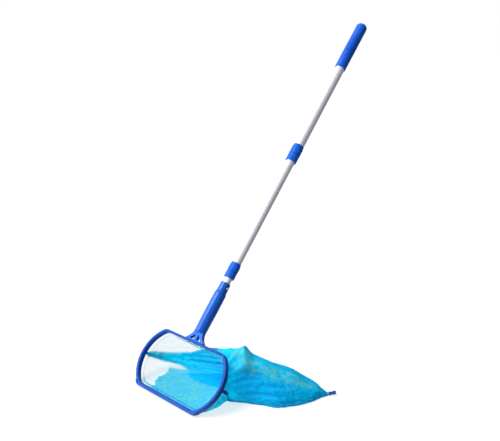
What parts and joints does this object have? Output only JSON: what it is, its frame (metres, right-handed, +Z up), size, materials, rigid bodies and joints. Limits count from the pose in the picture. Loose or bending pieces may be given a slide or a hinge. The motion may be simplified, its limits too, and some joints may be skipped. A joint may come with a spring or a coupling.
{
  "type": "leaf skimmer net",
  "caption": "Barrel-shaped hoop with a fine mesh bag on a telescopic handle with twist-lock collars and a snap-button socket.",
  "frame": {"origin": "middle of the flat under the front lip, where the leaned net stands on the floor", "axes": "+Z up; +X along the front lip, to the right seen from the open side; +Y towards the bag, the way the pole leans"},
  "size_m": [0.4801, 0.8866, 0.9468],
  "materials": {
    "moulded_blue": "smooth injection-moulded plastic, royal blue",
    "collar_blue": "moulded plastic, royal blue, fluted",
    "grip_blue": "soft satin grip, blue",
    "aluminium": "drawn and anodised, satin silver",
    "nylon_white": "natural nylon",
    "steel": "stainless, plain",
    "button_steel": "stainless, polished by wear",
    "net_cyan": "fine knitted nylon mesh, cyan, see-through in one layer",
    "binding_cyan": "folded mesh binding, stitched",
    "tab_blue": "woven tape, dark blue"
  },
  "bodies": {
    "head": {"hoop_frame": "moulded_blue", "front_lip_strip": "moulded_blue", "net_retaining_ring": "moulded_blue", "bag_hem": "binding_cyan", "net_bag": "net_cyan", "right_seam_binding": "binding_cyan", "left_seam_binding": "binding_cyan", "tail_tab": "tab_blue", "head_socket": "moulded_blue", "socket_screws": "steel", "inner_tube": "aluminium", "inner_guide_bush": "nylon_white", "clip_spring": "steel"},
    "left_button": {"clip_button_left": "button_steel"},
    "right_button": {"clip_button_right": "button_steel"},
    "mid_section": {"mid_tube": "aluminium", "mid_guide_bush": "nylon_white", "mid_lock_body": "collar_blue", "mid_lock_collet": "nylon_white"},
    "mid_nut": {"mid_lock_nut": "collar_blue"},
    "handle": {"outer_tube": "aluminium", "outer_lock_body": "collar_blue", "outer_lock_collet": "nylon_white", "handle_grip": "grip_blue", "grip_end_cap": "grip_blue"},
    "outer_nut": {"outer_lock_nut": "collar_blue"}
  },
  "joints": [
    {"name": "mid_section_slide", "type": "slide", "parent": "head", "child": "mid_section", "axis": [0, 0.682, 0.7314], "range_m": [0, 0.34]},
    {"name": "mid_nut_turn", "type": "hinge", "parent": "mid_section", "child": "mid_nut", "pos_m": [0, 0.25464, 0.27953], "axis": [0, 0.682, 0.7314], "range_deg": [0, 120]},
    {"name": "handle_slide", "type": "slide", "parent": "mid_section", "child": "handle", "axis": [0, 0.682, 0.7314], "range_m": [-0.33, 0.11]},
    {"name": "outer_nut_turn", "type": "hinge", "parent": "handle", "child": "outer_nut", "pos_m": [0, 0.52444, 0.56885], "axis": [0, 0.682, 0.7314], "range_deg": [0, 120]},
    {"name": "left_button_press", "type": "hinge", "parent": "head", "child": "left_button", "pos_m": [-0.0087, 0.18917, 0.20932], "axis": [0, 0.7314, -0.682], "range_deg": [0, 4.7], "stiffness_Nm_per_rad": 1},
    {"name": "right_button_press", "type": "hinge", "parent": "head", "child": "right_button", "pos_m": [0.0087, 0.18917, 0.20932], "axis": [0, -0.7314, 0.682], "range_deg": [0, 4.7], "stiffness_Nm_per_rad": 1}
  ]
}
